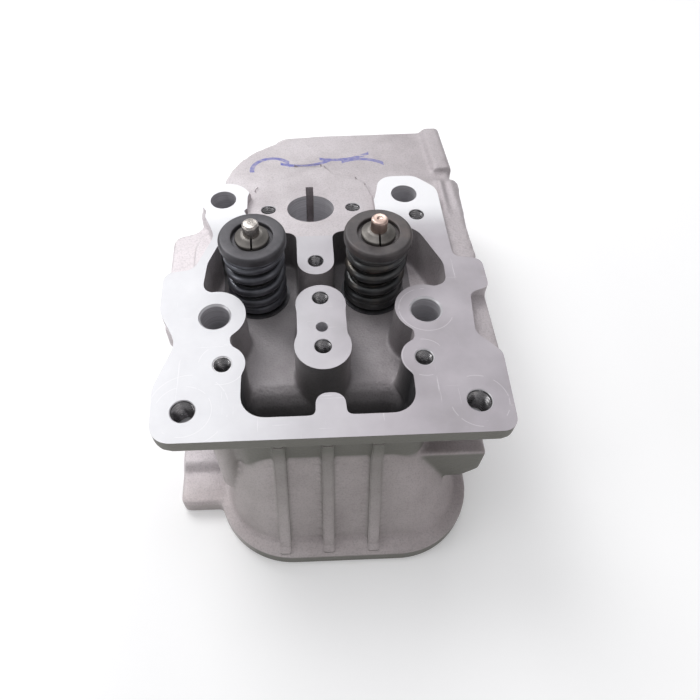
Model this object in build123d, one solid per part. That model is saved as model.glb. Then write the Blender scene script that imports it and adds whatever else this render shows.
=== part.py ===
from build123d import *
import os

# Cylinder head of a small air-cooled overhead-valve engine, with both valve sets fitted.
# Millimetres. The origin is the centre of the four head bolts on the combustion face. +Z points up
# towards the rocker cover, +Y to the port side and -Y to the pushrod side.

# ---- Head sizes
HEAD_HEIGHT = 65.0
BOLT_SPACING_X = 75.0
BOLT_SPACING_Y = 62.0
BOLT_HOLE_RADIUS = 5.25
FLANGE_THICKNESS = 6.0
CHAMBER_FLOOR = 45.6
DECK_THICKNESS = 9.5
RIM_THICKNESS = 6.5
SHELL_CREASE = 45.0
CORE_CORNER = 1.6
FIN_BOTTOMS = (14.5, 21.5, 28.5, 35.5)
FIN_THICKNESS = 2.8
RIB_PLACES_X = (-15.8, 0.2, 16.6)
RIB_HALF_THICKNESS = 1.9
BOLT_POST_RADIUS = 10.3
CORNER_POST_RADIUS = 8.0
COVER_POST_RADIUS = 7.8
REAR_PLATE_TOP = 64.4
REAR_PLATE_BOTTOM = 48.0
REAR_PLATE_FALL = 6.0
REAR_PLATE_HEIGHT = 60.9
REAR_RIDGE_HEIGHT = 2.4
FLOOR_THICKNESS = 5.5
CAST_BODY_TOP = 60.0
LEFT_LEDGE_TOP = 56.5

# ---- Drilled and tapped holes
M6_DRILL_RADIUS = 2.5
M8_DRILL_RADIUS = 3.4
DOWEL_RADIUS = 2.1
CORNER_HOLES = [(-45.6, -69.1), (49.0, -69.1)]
CORNER_HOLE_DEPTH = 10.5
COVER_HOLES = [(-33.9, -51.6), (33.9, -51.6)]
COVER_HOLE_DEPTH = 18.0
TONGUE_HOLE = (-0.7, -5.6)
TONGUE_HOLE_DEPTH = 14.0
ROCKER_STUD_HOLES = [(0.2, -24.0), (0.2, -45.6)]
ROCKER_STUD_DEPTH = 16.0
ROCKER_DOWEL_HOLE = (0.2, -37.3)
ROCKER_DOWEL_DEPTH = 10.0
SMALL_REAR_HOLE = (41.0, 18.2)
SMALL_REAR_HOLE_DEPTH = 12.0

# ---- Injector
INJECTOR_MOUTH = (-1.5, 27.0, 62.3)
INJECTOR_TILT = 8.0
INJECTOR_RADIUS = 9.7
INJECTOR_DEPTH = 25.0
INJECTOR_NOSE_RADIUS = 6.0
NOZZLE_RADIUS = 3.9
INJECTOR_BOSS_RADIUS = 20.0
INJECTOR_STUD_OFFSET = 17.5
INJECTOR_KEY_WIDTH = 3.2
INJECTOR_KEY_REACH = 16.5
INJECTOR_KEY_DEPTH = 20.0
INJECTOR_STUD_DEPTH = 15.0
INJECTOR_BOSS_HEIGHT = 10.0
INJECTOR_BARREL_RADIUS = 14.5

# ---- Valves: intake on -X, exhaust on +X
VALVE_LINE_Y = -5.0
VALVE_MIDDLE_X = -0.8
VALVE_SPACING = 46.0
STEM_RADIUS = 3.0
STEM_CLEARANCE = 0.03
STEM_TOP = 84.6
VALVE_FACE = 0.8
HEAD_RADII = {"intake": 16.0, "exhaust": 14.0}
SEAT_WALL = 2.6
SEAT_DEPTH = 6.0
SEAT_GAP = 0.06
VALVE_MARGIN = 1.4
VALVE_CONE_SHARE = 0.78
GUIDE_RADIUS = 6.0
GUIDE_BOTTOM = 25.0
GUIDE_TOP = 52.0
CLIP_WIRE = 0.75
SEAL_RADIUS = 7.2
SEAL_TOP = 56.5

# ---- Springs and keepers
SPRING_RADIUS = 11.6
SPRING_WIRE = 1.9
SPRING_TURNS = 5.4
SPRING_SEAT_THICKNESS = 0.9
SPRING_BOTTOM = CHAMBER_FLOOR + SPRING_SEAT_THICKNESS
RETAINER_RADIUS = 12.5
RETAINER_TOP = 78.4
RETAINER_THICKNESS = 3.6
RETAINER_HUB_RADIUS = 7.4
RETAINER_HUB_DEPTH = 7.6
RECESS_RADIUS = 7.6
RECESS_DEPTH = 1.6
SPRING_TOP = RETAINER_TOP - RETAINER_THICKNESS
COLLET_TOP_RADIUS = 6.1
COLLET_BOTTOM_RADIUS = 4.5
COLLET_SPLIT = 0.7
COLLET_CROWN = 2.6
GROOVE_DEPTH = 0.6
GROOVE_HEIGHT = 2.0
GROOVE_BELOW_RECESS = 3.2
CONTACT_GAP = 0.02

# ---- Ports
PORT_RADIUS = 9.3
PORT_HEIGHT = 24.5
PORT_WALL = 4.5
PORT_FACE_Y = 87.0
PORT_EXITS = {"intake": 6.0, "exhaust": 42.0}
PORT_PINCH = {"intake": (-20.1, 30.0), "exhaust": (18.4, 30.0)}
THROAT_SHARE = 0.80
PORT_STUD_OFFSET_Z = 15.5
PORT_STUD_DEPTH = 17.0
PORT_BEND_RADIUS = 40.0
PORT_FLANGE_SIZE = (80.0, 52.0)
PORT_FLANGE_MIDDLE = (21.0, 28.0)
PORT_FLANGE_THICKNESS = 11.0

VALVES = {
    "intake": (VALVE_MIDDLE_X - VALVE_SPACING / 2, VALVE_LINE_Y),
    "exhaust": (VALVE_MIDDLE_X + VALVE_SPACING / 2, VALVE_LINE_Y),
}
HEAD_BOLTS = [
    (side * BOLT_SPACING_X / 2, end * BOLT_SPACING_Y / 2) for side in (-1, 1) for end in (-1, 1)
]


# ---- Helpers
def outline(corners):
    """A flat face from corners (x, y, corner radius)."""
    points = [(x, y) for x, y, _ in corners]
    radii = [r for _, _, r in corners]
    return make_face(FilletPolyline(*points, radius=radii, close=True))


def softened(plan, radius):
    """A plan view with every inside and outside corner rounded to at least radius."""
    grown = offset(offset(plan, radius), -radius)
    return offset(offset(grown, -radius), radius)


def plate(face, low, high):
    """A flat face drawn out from height low to height high."""
    return extrude(Pos(0, 0, low) * face, high - low, dir=(0, 0, 1))


def post(place, radius, low, high):
    """A round post, or the cutter of a round hole."""
    height = high - low
    return Pos(place[0], place[1], low + height / 2) * Cylinder(radius, height)


def disc(place, radius):
    return Pos(place[0], place[1]) * Circle(radius)


def block(x, y, z):
    """A box from its ranges along X, Y and Z."""
    size = [high - low for low, high in (x, y, z)]
    middle = [(high + low) / 2 for low, high in (x, y, z)]
    return Pos(*middle) * Box(*size)


def turned(place, profile):
    """A turned piece about the vertical line through place, from its (radius, height) outline."""
    face = Plane.XZ * make_face(Polyline(*profile, close=True))
    return Pos(place[0], place[1]) * revolve(face, Axis.Z)


def drilled(place, radius, top, depth):
    """Cutter of a drilled hole that opens at height top."""
    return post(place, radius, top - depth, top + 3)


def injector_frame():
    """The injector's own axes: +Z leaves its mouth, leaning back."""
    return Pos(*INJECTOR_MOUTH) * Rot(X=-INJECTOR_TILT)


# ---- Plan views of the casting
def deck_plan():
    """The bottom rim, with a well rounded front round the pushrod tunnel."""
    front = outline([(-41.6, -40, 2), (-41.6, -98.8, 29), (55.3, -98.8, 29), (55.3, -40, 2)])
    rest = outline(
        [(-56.5, -77, 3), (-20, -77, 1), (30, -66, 1), (58, -64, 6), (58, 46, 12), (-58, 46, 12)]
    )
    return front + rest


def flange_plan():
    """The machined rocker cover face without its pockets."""
    rim = outline(
        [
            (-55.3, -80.3, 7),
            (59.3, -80.3, 5),
            (60.6, -50.5, 4),
            (53.0, -42.0, 4),
            (54.6, -24.0, 3),
            (62.0, -21.5, 2.5),
            (62.0, -7.5, 3),
            (51.5, -6.0, 3),
            (51.5, 34.0, 8),
            (43.0, 42.5, 7),
            (28.0, 42.5, 7),
            (23.0, 16.0, 6),
            (-25.0, 16.0, 6),
            (-29.0, 24.0, 2),
            (-45.5, 24.0, 2),
            (-40.0, 10.0, 8),
            (-46.8, -8.0, 5),
            (-57.8, -9.3, 4),
            (-57.4, -28.0, 9),
            (-50.3, -42.0, 9),
            (-56.4, -60.0, 12),
        ]
    )
    x, y = HEAD_BOLTS[1]
    return rim + disc((x + 1.2, y), 10.2)


def rear_plan():
    return outline(
        [
            (-39.2, 20, 2),
            (-39.2, PORT_FACE_Y, 42),
            (63.0, PORT_FACE_Y, 3),
            (61.0, 50, 3),
            (61.0, -7, 3),
            (30, -7, 3),
            (20, 14, 3),
            (-20, 14, 3),
        ]
    )


def cavity_plan():
    """The rocker chamber seen from above, with every boss that stands up in it."""
    front = outline(
        [
            (-27.4, -72.4, 8),
            (29.0, -72.4, 8),
            (29.4, -56, 3),
            (32.0, -42, 4),
            (32.0, -18.7, 1),
            (-31.8, -18.7, 1),
            (-31.8, -42, 4),
            (-27.4, -56, 3),
        ]
    )
    rear = outline(
        [
            (-42.8, -18.2, 4),
            (-41.8, -5, 8),
            (-37.0, 8, 9),
            (-24.0, 12.8, 10),
            (-6.0, 9.5, 2),
            (6.0, 9.5, 2),
            (24.0, 13.5, 12),
            (39.5, 11.0, 10),
            (47.4, -9, 8),
            (46.9, -18.9, 4),
            (30.0, -24.0, 1),
            (-30.0, -24.0, 1),
        ]
    )
    plan = front + rear
    for place in (HEAD_BOLTS[0], HEAD_BOLTS[2]):
        plan -= disc((place[0], place[1] + 0.6), 11.0)
    for place in COVER_HOLES:
        plan -= disc(place, COVER_POST_RADIUS)
    plan -= tongue_plan() + front_tab_plan()
    return softened(plan, CORE_CORNER)


def tongue_plan():
    x, y = TONGUE_HOLE
    return disc(TONGUE_HOLE, 7.0) + outline(
        [(x - 7, y, 0), (x - 7, 8, 4), (x - 15, 16, 0), (x + 15, 16, 0), (x + 7, 8, 4), (x + 7, y, 0)]
    )


def front_tab_plan():
    return Pos(1.6, -70.4) * RectangleRounded(9.8, 12.6, 4)


def pedestal_plan():
    """The bottle-shaped island that carries the rocker shaft."""
    x = ROCKER_STUD_HOLES[0][0]
    return disc((x, -27.0), 9.1) + disc((x, -45.2), 9.9) + Pos(x, -36) * Rectangle(17.4, 18)


# ---- Raw casting
def pushrod_shell():
    """Outer shape of the pushrod tunnel: it leans out towards the combustion face."""
    low = Pos(6.6, -69, RIM_THICKNESS) * RectangleRounded(88, 48, 22)
    top = Pos(1, -61.1) * RectangleRounded(63, 32.2, 11)
    shell = loft([low, Pos(0, 0, SHELL_CREASE) * top])
    shell += plate(top, SHELL_CREASE, CAST_BODY_TOP)
    for x in RIB_PLACES_X:
        shell += front_rib(x)
    return shell


def front_rib(x):
    """A stiffening rib that stands proud of the front wall, down to the rim."""
    side = Polyline(
        (-95.4, RIM_THICKNESS - 1.5),
        (-79.4, SHELL_CREASE),
        (-79.4, CAST_BODY_TOP),
        (-70, CAST_BODY_TOP),
        (-80, RIM_THICKNESS - 1.5),
        close=True,
    )
    return extrude(Pos(x) * (Plane.YZ * make_face(side)), RIB_HALF_THICKNESS, both=True)


def side_lugs():
    """A square lug beside the tunnel on +X, and a slim rounded post on -X."""
    lug = outline([(33, 20.5, 0), (50.5, 20.5, 2), (55.8, 26, 3), (55.8, 40, 2), (33, 40, 0)])
    lugs = Pos(0, -44) * extrude(Plane.XZ * lug, 31.5)
    foot = Pos(-34.4, -72.3, 21) * Sphere(4)
    return lugs + foot + post((-34.4, -72.3), 4, 21, CAST_BODY_TOP)


def deck_ramp():
    """Sloping front edge of the thicker deck, beside the tunnel on -X."""
    side = Polyline(
        (-64, RIM_THICKNESS - 0.5),
        (-61, DECK_THICKNESS),
        (-55, DECK_THICKNESS),
        (-55, RIM_THICKNESS - 0.5),
        close=True,
    )
    return Pos(-56.5) * extrude(Plane.YZ * make_face(side), 16)


def above_fall(rise):
    """Everything above the falling top of the rear plate, raised by rise."""
    start = Pos(0, 25, REAR_PLATE_HEIGHT + rise)
    return start * Rot(X=-REAR_PLATE_FALL) * Pos(0, 0, 20) * Box(200, 200, 40)


def rear_body():
    """The port side: a plate that falls away to the rear, over both port runners."""
    body = plate(rear_plan(), REAR_PLATE_BOTTOM, REAR_PLATE_TOP) - above_fall(0)
    body += port_flange()
    ridge = block((53.6, 62.4), (53, PORT_FACE_Y), (REAR_PLATE_BOTTOM, REAR_PLATE_TOP))
    ridge -= above_fall(REAR_RIDGE_HEIGHT)
    long_edges = ridge.faces().sort_by(Axis.Z)[-1].edges().sort_by(SortBy.LENGTH)[-2:]
    body += fillet(long_edges, REAR_RIDGE_HEIGHT)
    return body


def port_flange():
    """Flat flange that the inlet and exhaust pipes bolt to, with a relief between the ports."""
    face = Pos(*PORT_FLANGE_MIDDLE) * RectangleRounded(*PORT_FLANGE_SIZE, 9)
    flange = Pos(0, PORT_FACE_Y) * extrude(Plane.XZ * face, PORT_FLANGE_THICKNESS)
    middle_x = sum(PORT_EXITS.values()) / 2
    bottom = PORT_FLANGE_MIDDLE[1] - PORT_FLANGE_SIZE[1] / 2
    relief = Pos(middle_x, PORT_FACE_Y, bottom) * Rot(X=90) * Cylinder(6, 30)
    return flange - relief


def side_ledges():
    """Unmachined shelves just below the cover face on both sides."""
    left = outline(
        [(-57.4, -31, 3), (-58.4, 18.5, 5), (-46.5, 22, 6), (-46.5, 44, 4), (-30, 44, 2), (-30, -31, 2)]
    )
    right = outline(
        [(44, -48.5, 1), (61.9, -48.5, 3), (61.6, -20, 3), (61.0, -2, 3), (63.4, 46, 4), (44, 46, 1)]
    )
    ledges = plate(left, 46, LEFT_LEDGE_TOP) + plate(right, 46, CAST_BODY_TOP)
    for x, top in ((55.0, 61.6), (59.8, 61.0)):
        ledges += Pos(x, 20, top - 1.6) * Rot(X=90) * Cylinder(1.6, 48)
    return ledges


def chamber_body():
    """Walls and floor of the rocker chamber."""
    walls = outline(
        [
            (-30.5, -77.2, 10),
            (32.5, -77.2, 10),
            (38, -58, 4),
            (43, -45, 4),
            (51, -36, 8),
            (53, -20, 4),
            (53, 18, 8),
            (-48, 18, 8),
            (-48, -20, 4),
            (-51, -36, 8),
            (-42, -45, 4),
            (-37, -58, 4),
        ]
    )
    return plate(walls, CHAMBER_FLOOR - FLOOR_THICKNESS, CAST_BODY_TOP)


def fins():
    """Cooling fins between the combustion deck and the rocker chamber."""
    fin = outline([(-54, -46, 8), (56, -46, 8), (56, 47, 10), (-54, 47, 10)])
    stack = Part()
    for low in FIN_BOTTOMS:
        stack += plate(fin, low, low + FIN_THICKNESS)
    return stack


def port_path(side):
    """Centreline of a port, from under the valve to the port face."""
    start = VALVES[side]
    pinch = PORT_PINCH[side]
    return FilletPolyline(
        (start[0], start[1], PORT_HEIGHT),
        (pinch[0], pinch[1], PORT_HEIGHT),
        (PORT_EXITS[side], PORT_FACE_Y + 1, PORT_HEIGHT),
        radius=PORT_BEND_RADIUS,
    )


def runner(side, radius):
    """A round bar along a port's centreline."""
    path = port_path(side)
    section = Plane(path @ 0, z_dir=path % 0) * Circle(radius)
    return sweep(section, path)


def columns():
    """Posts that join the two decks round each bolt, valve and the injector."""
    posts = Part()
    for place in HEAD_BOLTS:
        posts += post(place, BOLT_POST_RADIUS, 0, 58)
    for side, place in VALVES.items():
        posts += post(place, HEAD_RADII[side] + 4, 0, 41)
    for place in CORNER_HOLES:
        posts += post(place, CORNER_POST_RADIUS, 53, CAST_BODY_TOP)
    for place in COVER_HOLES:
        posts += post(place, COVER_POST_RADIUS, 44, CAST_BODY_TOP)
    return posts


def injector_pad_plan():
    """The machined pad round the injector, drawn on its own axes, with a tail behind the key slot."""
    pad = outline(
        [
            (25.7, -8, 8),
            (25.7, 6, 6),
            (24.0, 16, 9),
            (20.0, 22.5, 8),
            (10.0, 26.5, 2),
            (6.3, 33.5, 2),
            (-6.1, 33.5, 2),
            (-15.5, 25.0, 6),
            (-22.5, 15, 8),
            (-25.5, 5, 8),
            (-25.5, -8, 8),
        ]
    )
    return pad + Circle(INJECTOR_BOSS_RADIUS)


def injector_boss():
    """Leaning boss that the injector drops into."""
    height = INJECTOR_BOSS_HEIGHT
    boss = injector_frame() * Pos(0, 0, -30) * Cylinder(INJECTOR_BARREL_RADIUS, 60)
    face = injector_frame() * plate(injector_pad_plan(), -height, 0)
    key = injector_frame() * Pos(0, 12.8, -14) * Box(11, 18, 28)
    whole = boss + face + key
    return whole & block((-40, 40), (-40, 80), (1, HEAD_HEIGHT))


def raw_casting():
    casting = plate(deck_plan(), 0, RIM_THICKNESS)
    deck = outline([(-56.5, -61, 1), (58, -61, 6), (58, 46, 12), (-56.5, 46, 12)])
    casting += plate(deck, 0, DECK_THICKNESS)
    casting += fins()
    casting += chamber_body()
    casting += side_ledges()
    casting += rear_body()
    casting += pushrod_shell()
    casting += columns()
    casting += plate(flange_plan(), HEAD_HEIGHT - FLANGE_THICKNESS, HEAD_HEIGHT)
    casting += injector_boss()
    casting += side_lugs()
    casting += deck_ramp()
    for side in VALVES:
        casting += runner(side, PORT_RADIUS + PORT_WALL) - block((-80, 80), (PORT_FACE_Y, 120), (0, 60))
    return casting


# ---- Machining and cores
def chamber_core():
    """The hollow of the rocker chamber, rounded along its floor."""
    core = plate(cavity_plan(), CHAMBER_FLOOR, HEAD_HEIGHT + 1)
    return core - plate(pedestal_plan(), 0, HEAD_HEIGHT + 2)


def tunnel_core():
    """The hollow of the pushrod tunnel, curving out of the chamber floor and down through the rim."""
    front = -71.8
    core = loft([Pos(7, -77, -1) * RectangleRounded(82, 31, 14), tunnel_section(front, -56.3, 36, 54)])
    steps = [(-56.3, 36, 54), (-54.4, 40.5, 54.3), (-51.4, 43.8, 54.6), (-47.2, CHAMBER_FLOOR + 0.5, 55)]
    for lower, upper in zip(steps, steps[1:]):
        core += loft([tunnel_section(front, *lower), tunnel_section(front, *upper)])
    return core - plate(pedestal_plan(), 30, HEAD_HEIGHT)


def tunnel_section(front, back, height, width):
    return Pos(1, (front + back) / 2, height) * RectangleRounded(width, back - front, 5)


def port_core(side):
    """A port's passage, its bowl under the valve and the seat ring's counterbore."""
    place = VALVES[side]
    bowl = post(place, HEAD_RADII[side] * THROAT_SHARE, -1, PORT_HEIGHT + 4)
    counterbore = post(place, HEAD_RADII[side] + SEAT_WALL, -1, SEAT_DEPTH)
    guide_bore = post(place, GUIDE_RADIUS, GUIDE_BOTTOM - 5, CHAMBER_FLOOR + 2)
    spring_spot = post(place, SPRING_RADIUS + 1.6, CHAMBER_FLOOR - 0.01, CHAMBER_FLOOR + 12)
    return bowl + counterbore + guide_bore + spring_spot + runner(side, PORT_RADIUS)


def injector_core():
    """The stepped injector bore with its key slot, clamp stud holes and nozzle hole."""
    bore = Pos(0, 0, 5 - INJECTOR_DEPTH / 2) * Cylinder(INJECTOR_RADIUS, INJECTOR_DEPTH + 10)
    nose = Pos(0, 0, -27) * Cylinder(INJECTOR_NOSE_RADIUS, 50)
    nozzle = Pos(0, 0, -35) * Cylinder(NOZZLE_RADIUS, 80)
    reach = INJECTOR_KEY_REACH
    depth = INJECTOR_KEY_DEPTH
    key = Pos(0, reach / 2, 2 - depth / 2) * Box(INJECTOR_KEY_WIDTH, reach, depth + 4)
    cutter = bore + nose + nozzle + key
    stud_depth = INJECTOR_STUD_DEPTH
    stud_hole = Pos(0, 0, 1.5 - stud_depth / 2) * Cylinder(M6_DRILL_RADIUS, stud_depth + 3)
    for side in (-1, 1):
        cutter += Pos(side * INJECTOR_STUD_OFFSET) * stud_hole
    return injector_frame() * cutter


def port_stud_cutters():
    """Tapped holes above and below each port on the port face."""
    cutters = Part()
    for x in PORT_EXITS.values():
        for side in (-1, 1):
            height = PORT_HEIGHT + side * PORT_STUD_OFFSET_Z
            middle = Pos(x, PORT_FACE_Y - PORT_STUD_DEPTH / 2, height)
            cutters += middle * Rot(X=90) * Cylinder(M8_DRILL_RADIUS, PORT_STUD_DEPTH)
    return cutters


def hole_cutters():
    """Every drilled hole that opens in the cover face."""
    top = HEAD_HEIGHT
    cutters = Part()
    for place in HEAD_BOLTS:
        cutters += drilled(place, BOLT_HOLE_RADIUS, top, top + 1)
        cutters += post(place, 10.4, top, top + 8)
    for place in CORNER_HOLES:
        cutters += drilled(place, M8_DRILL_RADIUS, top, CORNER_HOLE_DEPTH)
    for place in COVER_HOLES:
        cutters += drilled(place, M6_DRILL_RADIUS, top, COVER_HOLE_DEPTH)
    for place in ROCKER_STUD_HOLES:
        cutters += drilled(place, M6_DRILL_RADIUS, top, ROCKER_STUD_DEPTH)
    cutters += drilled(ROCKER_DOWEL_HOLE, DOWEL_RADIUS, top, ROCKER_DOWEL_DEPTH)
    cutters += drilled(TONGUE_HOLE, M6_DRILL_RADIUS, top, TONGUE_HOLE_DEPTH)
    cutters += drilled(SMALL_REAR_HOLE, M6_DRILL_RADIUS, top, SMALL_REAR_HOLE_DEPTH)
    return cutters


def head_casting():
    casting = raw_casting()
    casting -= chamber_core()
    casting -= tunnel_core()
    for side in VALVES:
        casting -= port_core(side)
    casting -= injector_core()
    casting -= hole_cutters()
    casting -= port_stud_cutters()
    return casting


# ---- Valve gear
def valve(side):
    """Tulip head, stem, keeper groove and chamfered tip."""
    radius = HEAD_RADII[side]
    groove = RETAINER_TOP - RECESS_DEPTH - GROOVE_BELOW_RECESS
    neck = STEM_RADIUS - GROOVE_DEPTH
    margin = VALVE_FACE + VALVE_MARGIN
    back = margin + radius * (1 - VALVE_CONE_SHARE)
    profile = [
        (0, VALVE_FACE),
        (radius - 0.3, VALVE_FACE),
        (radius, VALVE_FACE + 0.3),
        (radius, margin),
        (radius * VALVE_CONE_SHARE, back),
        (radius * 0.52, back + 1.8),
        (STEM_RADIUS + 1.8, back + 5.5),
        (STEM_RADIUS, back + 11),
        (STEM_RADIUS, groove),
        (neck, groove + 0.3),
        (neck, groove + GROOVE_HEIGHT - 0.3),
        (STEM_RADIUS, groove + GROOVE_HEIGHT),
        (STEM_RADIUS, STEM_TOP - 0.7),
        (STEM_RADIUS - 0.7, STEM_TOP),
        (0, STEM_TOP),
    ]
    return turned(VALVES[side], profile)


def seat_insert(side):
    """Ring with a 45 degree seat that the valve closes on."""
    radius = HEAD_RADII[side]
    throat = radius * THROAT_SHARE
    outer = radius + SEAT_WALL
    wide = radius + 0.5
    line = VALVE_FACE + VALVE_MARGIN + SEAT_GAP + radius
    profile = [
        (outer, 0),
        (outer, SEAT_DEPTH),
        (throat, SEAT_DEPTH),
        (throat, line - throat),
        (wide, line - wide),
        (wide, 0),
    ]
    return turned(VALVES[side], profile)


def guide(side):
    """Pressed-in guide with the stem's running clearance."""
    bore = STEM_RADIUS + STEM_CLEARANCE
    profile = [
        (bore, GUIDE_BOTTOM),
        (GUIDE_RADIUS - 1, GUIDE_BOTTOM),
        (GUIDE_RADIUS, GUIDE_BOTTOM + 4),
        (GUIDE_RADIUS, GUIDE_TOP - 0.6),
        (GUIDE_RADIUS - 0.6, GUIDE_TOP),
        (bore, GUIDE_TOP),
    ]
    return turned(VALVES[side], profile)


def guide_clip(side):
    """Round-wire ring on the guide, just above the spring seat."""
    height = SPRING_BOTTOM + CLIP_WIRE
    ring = Pos(*VALVES[side], height) * Torus(GUIDE_RADIUS + CLIP_WIRE, CLIP_WIRE)
    return ring - (Pos(VALVES[side][0], VALVES[side][1] + 8, height) * Box(3, 8, 4))


def stem_seal(side):
    """Rubber cap that sits over the end of the guide and wipes the stem."""
    wiped = STEM_RADIUS + STEM_CLEARANCE
    profile = [
        (GUIDE_RADIUS, GUIDE_TOP - 3.4),
        (SEAL_RADIUS, GUIDE_TOP - 3.4),
        (SEAL_RADIUS, SEAL_TOP - 2.2),
        (SEAL_RADIUS - 2.4, SEAL_TOP),
        (wiped, SEAL_TOP),
        (wiped, GUIDE_TOP),
        (GUIDE_RADIUS, GUIDE_TOP),
    ]
    return turned(VALVES[side], profile)


def spring_seat(side):
    """Plain hardened washer under the spring."""
    inner = GUIDE_RADIUS + CONTACT_GAP
    profile = [
        (inner, CHAMBER_FLOOR),
        (SPRING_RADIUS + 0.9, CHAMBER_FLOOR),
        (SPRING_RADIUS + 0.9, SPRING_BOTTOM),
        (inner, SPRING_BOTTOM),
    ]
    return turned(VALVES[side], profile)


def spring(side):
    """Coil spring at its fitted length, ground flat at both ends."""
    low = SPRING_BOTTOM + CONTACT_GAP
    high = SPRING_TOP - CONTACT_GAP
    coil = SPRING_RADIUS - SPRING_WIRE
    pitch = (high - low) / SPRING_TURNS
    path = Helix(pitch, high - low, coil)
    section = Plane(path @ 0, z_dir=path % 0) * Circle(SPRING_WIRE)
    wound = Pos(0, 0, low) * sweep(section, path, is_frenet=True)
    limits = Pos(0, 0, (low + high) / 2) * Box(40, 40, high - low)
    return Pos(*VALVES[side]) * (wound & limits)


def retainer(side):
    """Spring plate with a recess and a tapered hole for the keepers."""
    low = RETAINER_TOP - RETAINER_HUB_DEPTH
    shelf = RETAINER_TOP - RETAINER_THICKNESS
    profile = [
        (COLLET_BOTTOM_RADIUS, low),
        (RETAINER_HUB_RADIUS - 0.6, low),
        (RETAINER_HUB_RADIUS, low + 0.6),
        (RETAINER_HUB_RADIUS, shelf),
        (RETAINER_RADIUS - 0.5, shelf),
        (RETAINER_RADIUS, shelf + 0.5),
        (RETAINER_RADIUS, RETAINER_TOP - 1.0),
        (RETAINER_RADIUS - 1.0, RETAINER_TOP),
        (RECESS_RADIUS + 0.3, RETAINER_TOP),
        (RECESS_RADIUS, RETAINER_TOP - 0.3),
        (RECESS_RADIUS, RETAINER_TOP - RECESS_DEPTH),
        (COLLET_TOP_RADIUS, RETAINER_TOP - RECESS_DEPTH),
    ]
    return turned(VALVES[side], profile)


def collet(side, hand):
    """One half of the split cone that locks the retainer to the stem. hand is -1 or 1 along X."""
    low = RETAINER_TOP - RETAINER_HUB_DEPTH
    seat = RETAINER_TOP - RECESS_DEPTH
    groove = seat - GROOVE_BELOW_RECESS
    bore = STEM_RADIUS + CONTACT_GAP
    bead = STEM_RADIUS - GROOVE_DEPTH + CONTACT_GAP
    profile = [
        (bore, low),
        (COLLET_BOTTOM_RADIUS - CONTACT_GAP, low),
        (COLLET_TOP_RADIUS - CONTACT_GAP, seat),
        (COLLET_TOP_RADIUS - CONTACT_GAP, RETAINER_TOP - 0.6),
        (COLLET_TOP_RADIUS - 0.6, RETAINER_TOP + 0.3),
        (bore + 1.2, RETAINER_TOP + COLLET_CROWN - 0.4),
        (bore, RETAINER_TOP + COLLET_CROWN),
        (bore, groove + GROOVE_HEIGHT - CONTACT_GAP),
        (bead, groove + GROOVE_HEIGHT - 0.4),
        (bead, groove + 0.4),
        (bore, groove + CONTACT_GAP),
    ]
    cone = turned((0, 0), profile)
    half = Pos(hand * (COLLET_SPLIT / 2 + 10), 0, seat) * Box(20, 40, 40)
    return Pos(*VALVES[side]) * (cone & half)


def pieces():
    """Every node by name."""
    made = {"head_casting": head_casting()}
    for side in VALVES:
        made[f"{side}_valve"] = valve(side)
        made[f"{side}_seat_insert"] = seat_insert(side)
        made[f"{side}_guide"] = guide(side)
        made[f"{side}_guide_clip"] = guide_clip(side)
        made[f"{side}_stem_seal"] = stem_seal(side)
        made[f"{side}_spring_seat"] = spring_seat(side)
        made[f"{side}_spring"] = spring(side)
        made[f"{side}_retainer"] = retainer(side)
        made[f"{side}_collet_left"] = collet(side, -1)
        made[f"{side}_collet_right"] = collet(side, 1)
    return made


os.makedirs("parts", exist_ok=True)
for name, shape in pieces().items():
    export_step(shape, f"parts/{name}.step")
    print(name, len(shape.solids()), round(shape.volume, 1))
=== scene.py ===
import math

import bmesh
import bpy
import numpy as np
from mathutils import Matrix, Vector


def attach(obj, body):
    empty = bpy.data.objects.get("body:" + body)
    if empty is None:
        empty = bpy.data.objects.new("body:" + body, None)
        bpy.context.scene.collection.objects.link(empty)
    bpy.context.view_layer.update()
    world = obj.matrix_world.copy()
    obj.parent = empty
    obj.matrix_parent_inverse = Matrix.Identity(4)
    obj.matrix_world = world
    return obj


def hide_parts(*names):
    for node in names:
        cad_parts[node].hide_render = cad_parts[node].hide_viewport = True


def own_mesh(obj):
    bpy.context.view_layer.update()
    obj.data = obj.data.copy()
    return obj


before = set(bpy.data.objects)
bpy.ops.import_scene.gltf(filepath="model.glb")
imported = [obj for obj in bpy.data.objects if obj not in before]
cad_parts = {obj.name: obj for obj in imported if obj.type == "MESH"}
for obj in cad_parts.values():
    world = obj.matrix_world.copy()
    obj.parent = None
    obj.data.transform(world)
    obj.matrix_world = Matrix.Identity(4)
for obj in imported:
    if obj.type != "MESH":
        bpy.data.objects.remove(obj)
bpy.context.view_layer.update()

MM = 0.001

# ---------------------------------------------------------------- sizes, in millimetres, as in the CAD
TOP = 65.0
PORT_Y = 87.0
PORT_Z = 24.5
PORT_R = 9.3
PORT_EXIT_X = {"intake": 6.0, "exhaust": 42.0}
PORT_BEND_X = {"intake": -20.1, "exhaust": 18.4}
PORT_BEND_Y = 30.0
PORT_STUD_Z = {"lower": 9.0, "upper": 40.0}
VALVES = {"intake": (-23.8, -5.0), "exhaust": (22.2, -5.0)}
HEAD_RADII = {"intake": 16.0, "exhaust": 14.0}
STEM_TOP = 84.6
STEM_R = 3.0
RETAINER_TOP = 78.4
RETAINER_SHELF = 74.8
HUB_LOW = 70.8
HUB_R = 7.4
COLLET_SEAT = 76.8
COLLET_LOW_R = 4.46
COLLET_SEAT_R = 6.06
COLLET_R = 6.3
SPRING_LOW = 46.5
SPRING_HIGH = 74.8
SPRING_R = 11.6
WIRE_R = 1.9
FLOOR_Z = 45.6
POCKET_R = 13.2
POCKET_CUT = 11
GUIDE_BORE_R = 5.99
SEAT_WALL = 2.6
SEAT_DEPTH = 6.0
INJECTOR = (-1.5, 27.0, 62.3)
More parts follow.
